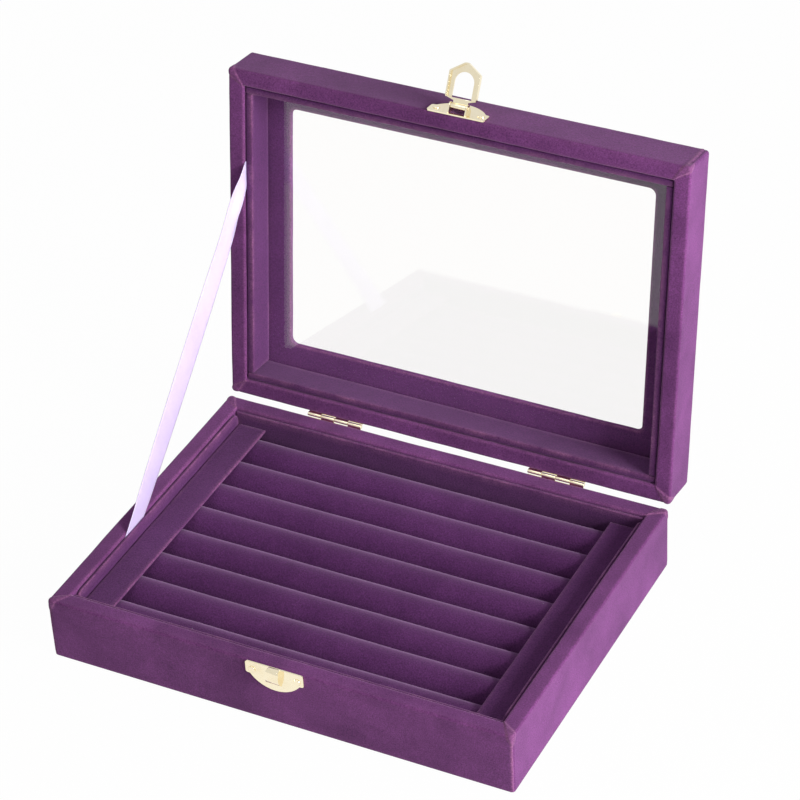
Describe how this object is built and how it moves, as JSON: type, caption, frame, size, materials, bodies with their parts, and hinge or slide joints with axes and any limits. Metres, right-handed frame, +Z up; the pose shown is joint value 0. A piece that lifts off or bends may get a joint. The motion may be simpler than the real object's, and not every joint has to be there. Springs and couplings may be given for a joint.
{
  "type": "ring display box",
  "caption": "Low velvet-covered ring case with padded ring rolls and a hinged glass-window lid, held open by a ribbon stay and closed by a hasp over a sprung catch.",
  "frame": {"origin": "centre of the case's footprint, on the surface that it stands on", "axes": "+X to the right along the case's long side, seen from the catch; +Y back towards the hinges; +Z up"},
  "size_m": [0.2, 0.1911, 0.1935],
  "materials": {
    "velvet": "matte",
    "roll_velvet": "matte",
    "board": "matte",
    "card": "matte",
    "backing_paper": "matte",
    "glass": "gloss",
    "brass": "polished",
    "satin_ribbon": "satin"
  },
  "bodies": {
    "base": {"base_floor_board": "board", "base_wall_front": "board", "base_wall_back": "board", "base_wall_left": "board", "base_wall_right": "board", "base_velvet": "velvet", "base_bottom_sheet": "backing_paper", "base_liner_front": "velvet", "base_liner_back": "velvet", "base_liner_left": "velvet", "base_liner_right": "velvet", "roll_backing_card": "card", "ring_roll_1": "roll_velvet", "ring_roll_2": "roll_velvet", "ring_roll_3": "roll_velvet", "ring_roll_4": "roll_velvet", "ring_roll_5": "roll_velvet", "ring_roll_6": "roll_velvet", "ring_roll_7": "roll_velvet", "ring_roll_8": "roll_velvet", "end_strip_left": "velvet", "end_strip_right": "velvet", "catch_plate": "brass", "catch_nails": "brass", "hinge_left_base_leaf": "brass", "hinge_right_base_leaf": "brass", "hinge_left_pin": "brass", "hinge_right_pin": "brass", "hinge_base_nails": "brass", "ribbon_stay": "satin_ribbon"},
    "lid": {"lid_wall_front": "board", "lid_wall_back": "board", "lid_wall_left": "board", "lid_wall_right": "board", "window_frame_card": "card", "lid_velvet": "velvet", "window_lining": "velvet", "glass_pane": "glass", "lid_liner_front": "velvet", "lid_liner_back": "velvet", "lid_liner_left": "velvet", "lid_liner_right": "velvet", "hinge_left_lid_leaf": "brass", "hinge_right_lid_leaf": "brass", "hinge_lid_nails": "brass", "latch_plate": "brass", "latch_nails": "brass", "latch_pin": "brass"},
    "hasp": {"hasp": "brass"}
  },
  "joints": [
    {"name": "lid_hinge", "type": "hinge", "parent": "base", "child": "lid", "pos_m": [0, 0.0749, 0.0286], "axis": [1, 0, 0], "range_deg": [0, 97.8], "deforming": ["ribbon_stay"]},
    {"name": "hasp_pivot", "type": "hinge", "parent": "lid", "child": "hasp", "pos_m": [0, 0.09961, 0.17803], "axis": [1, 0, 0], "range_deg": [-48, 112]}
  ]
}
